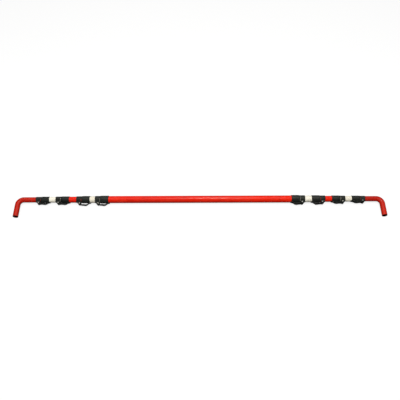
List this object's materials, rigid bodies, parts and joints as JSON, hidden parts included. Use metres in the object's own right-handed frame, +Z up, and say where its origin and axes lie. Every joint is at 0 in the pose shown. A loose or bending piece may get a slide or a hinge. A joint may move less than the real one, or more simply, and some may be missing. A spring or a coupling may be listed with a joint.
{
  "type": "cargo bar",
  "caption": "Telescoping round-tube cargo bar with cam-lever locks along both ends and bent legs for stake pockets.",
  "frame": {"origin": "middle of the bar, on the axis of the centre tube", "axes": "+X along the bar, +Z up with the bar lying flat on a floor, the legs and the lock levers pointing to -Y"},
  "size_m": [1.805, 0.1128, 0.0388],
  "materials": {
    "red_paint": "gloss red powder coat",
    "hook_paint": "slightly dulled red powder coat",
    "white_paint": "satin ivory powder coat",
    "lock_plastic": "fine-textured black moulding",
    "lever_plastic": "smoother black moulding",
    "pin_steel": "bright zinc plate",
    "screw_steel": "zinc plate",
    "shoe_rubber": "matte",
    "guide_plastic": "natural nylon"
  },
  "bodies": {
    "centre_section": {"centre_tube": "red_paint", "left_lock_1_body": "lock_plastic", "left_lock_1_pin": "pin_steel", "left_lock_1_shoe": "shoe_rubber", "left_lock_1_screw": "screw_steel", "right_lock_1_body": "lock_plastic", "right_lock_1_pin": "pin_steel", "right_lock_1_shoe": "shoe_rubber", "right_lock_1_screw": "screw_steel"},
    "left_guide_1": {"left_guide_ring_1": "guide_plastic"},
    "left_section_1": {"left_tube_1": "white_paint", "left_lock_2_body": "lock_plastic", "left_lock_2_pin": "pin_steel", "left_lock_2_shoe": "shoe_rubber", "left_lock_2_screw": "screw_steel"},
    "left_lever_1": {"left_lock_1_lever": "lever_plastic"},
    "left_guide_2": {"left_guide_ring_2": "guide_plastic"},
    "left_section_2": {"left_tube_2": "red_paint", "left_lock_3_body": "lock_plastic", "left_lock_3_pin": "pin_steel", "left_lock_3_shoe": "shoe_rubber", "left_lock_3_screw": "screw_steel"},
    "left_lever_2": {"left_lock_2_lever": "lever_plastic"},
    "left_guide_3": {"left_guide_ring_3": "guide_plastic"},
    "left_section_3": {"left_tube_3": "white_paint", "left_lock_4_body": "lock_plastic", "left_lock_4_pin": "pin_steel", "left_lock_4_shoe": "shoe_rubber", "left_lock_4_screw": "screw_steel"},
    "left_lever_3": {"left_lock_3_lever": "lever_plastic"},
    "left_guide_4": {"left_guide_ring_4": "guide_plastic"},
    "left_hook": {"left_hook_rod": "hook_paint"},
    "left_lever_4": {"left_lock_4_lever": "lever_plastic"},
    "right_guide_1": {"right_guide_ring_1": "guide_plastic"},
    "right_section_1": {"right_tube_1": "white_paint", "right_lock_2_body": "lock_plastic", "right_lock_2_pin": "pin_steel", "right_lock_2_shoe": "shoe_rubber", "right_lock_2_screw": "screw_steel"},
    "right_lever_1": {"right_lock_1_lever": "lever_plastic"},
    "right_guide_2": {"right_guide_ring_2": "guide_plastic"},
    "right_section_2": {"right_tube_2": "red_paint", "right_lock_3_body": "lock_plastic", "right_lock_3_pin": "pin_steel", "right_lock_3_shoe": "shoe_rubber", "right_lock_3_screw": "screw_steel"},
    "right_lever_2": {"right_lock_2_lever": "lever_plastic"},
    "right_guide_3": {"right_guide_ring_3": "guide_plastic"},
    "right_section_3": {"right_tube_3": "white_paint", "right_lock_4_body": "lock_plastic", "right_lock_4_pin": "pin_steel", "right_lock_4_shoe": "shoe_rubber", "right_lock_4_screw": "screw_steel"},
    "right_lever_3": {"right_lock_3_lever": "lever_plastic"},
    "right_guide_4": {"right_guide_ring_4": "guide_plastic"},
    "right_hook": {"right_hook_rod": "hook_paint"},
    "right_lever_4": {"right_lock_4_lever": "lever_plastic"}
  },
  "joints": [
    {"name": "left_slide_1", "type": "slide", "parent": "centre_section", "child": "left_guide_1", "axis": [-1, 0, 0], "range_m": [-0.018, 0.105]},
    {"name": "left_twist_1", "type": "hinge", "parent": "left_guide_1", "child": "left_section_1", "pos_m": [-0.513, 0, 0], "axis": [-1, 0, 0], "continuous": true},
    {"name": "left_lever_1_swing", "type": "hinge", "parent": "centre_section", "child": "left_lever_1", "pos_m": [-0.4975, -0.0216, -0.0042], "axis": [0, 0.1908, -0.9816], "range_deg": [0, 110]},
    {"name": "left_slide_2", "type": "slide", "parent": "left_section_1", "child": "left_guide_2", "axis": [-1, 0, 0], "range_m": [-0.0275, 0.105]},
    {"name": "left_twist_2", "type": "hinge", "parent": "left_guide_2", "child": "left_section_2", "pos_m": [-0.6045, 0, 0], "axis": [-1, 0, 0], "continuous": true},
    {"name": "left_lever_2_swing", "type": "hinge", "parent": "left_section_1", "child": "left_lever_2", "pos_m": [-0.589, -0.0199, -0.00571], "axis": [0, 0.2756, -0.9613], "range_deg": [0, 110]},
    {"name": "left_slide_3", "type": "slide", "parent": "left_section_2", "child": "left_guide_3", "axis": [-1, 0, 0], "range_m": [-0.0235, 0.105]},
    {"name": "left_twist_3", "type": "hinge", "parent": "left_guide_3", "child": "left_section_3", "pos_m": [-0.7055, 0, 0], "axis": [-1, 0, 0], "continuous": true},
    {"name": "left_lever_3_swing", "type": "hinge", "parent": "left_section_2", "child": "left_lever_3", "pos_m": [-0.6913, -0.01968, -0.00172], "axis": [0, 0.0872, -0.9962], "range_deg": [0, 110]},
    {"name": "left_slide_4", "type": "slide", "parent": "left_section_3", "child": "left_guide_4", "axis": [-1, 0, 0], "range_m": [-0.045, 0.105]},
    {"name": "left_twist_4", "type": "hinge", "parent": "left_guide_4", "child": "left_hook", "pos_m": [-0.8025, 0, 0], "axis": [-1, 0, 0], "continuous": true},
    {"name": "left_lever_4_swing", "type": "hinge", "parent": "left_section_3", "child": "left_lever_4", "pos_m": [-0.7883, -0.01866, -0.00229], "axis": [0, 0.1219, -0.9925], "range_deg": [0, 110]},
    {"name": "right_slide_1", "type": "slide", "parent": "centre_section", "child": "right_guide_1", "axis": [1, 0, 0], "range_m": [-0.0255, 0.105]},
    {"name": "right_twist_1", "type": "hinge", "parent": "right_guide_1", "child": "right_section_1", "pos_m": [0.513, 0, 0], "axis": [1, 0, 0], "continuous": true},
    {"name": "right_lever_1_swing", "type": "hinge", "parent": "centre_section", "child": "right_lever_1", "pos_m": [0.4975, -0.02197, 0.00115], "axis": [0, 0.0523, 0.9986], "range_deg": [0, 110]},
    {"name": "right_slide_2", "type": "slide", "parent": "right_section_1", "child": "right_guide_2", "axis": [1, 0, 0], "range_m": [-0.0245, 0.105]},
    {"name": "right_twist_2", "type": "hinge", "parent": "right_guide_2", "child": "right_section_2", "pos_m": [0.612, 0, 0], "axis": [1, 0, 0], "continuous": true},
    {"name": "right_lever_2_swing", "type": "hinge", "parent": "right_section_1", "child": "right_lever_2", "pos_m": [0.5965, -0.02069, 0.00072], "axis": [0, 0.0349, 0.9994], "range_deg": [0, 110]},
    {"name": "right_slide_3", "type": "slide", "parent": "right_section_2", "child": "right_guide_3", "axis": [1, 0, 0], "range_m": [-0.0235, 0.105]},
    {"name": "right_twist_3", "type": "hinge", "parent": "right_guide_3", "child": "right_section_3", "pos_m": [0.71, 0, 0], "axis": [1, 0, 0], "continuous": true},
    {"name": "right_lever_3_swing", "type": "hinge", "parent": "right_section_2", "child": "right_lever_3", "pos_m": [0.6958, -0.01974, 0.00069], "axis": [0, 0.0349, 0.9994], "range_deg": [0, 110]},
    {"name": "right_slide_4", "type": "slide", "parent": "right_section_3", "child": "right_guide_4", "axis": [1, 0, 0], "range_m": [-0.045, 0.105]},
    {"name": "right_twist_4", "type": "hinge", "parent": "right_guide_4", "child": "right_hook", "pos_m": [0.807, 0, 0], "axis": [1, 0, 0], "continuous": true},
    {"name": "right_lever_4_swing", "type": "hinge", "parent": "right_section_3", "child": "right_lever_4", "pos_m": [0.7928, -0.01845, 0.00359], "axis": [0, 0.1908, 0.9816], "range_deg": [0, 110]}
  ]
}
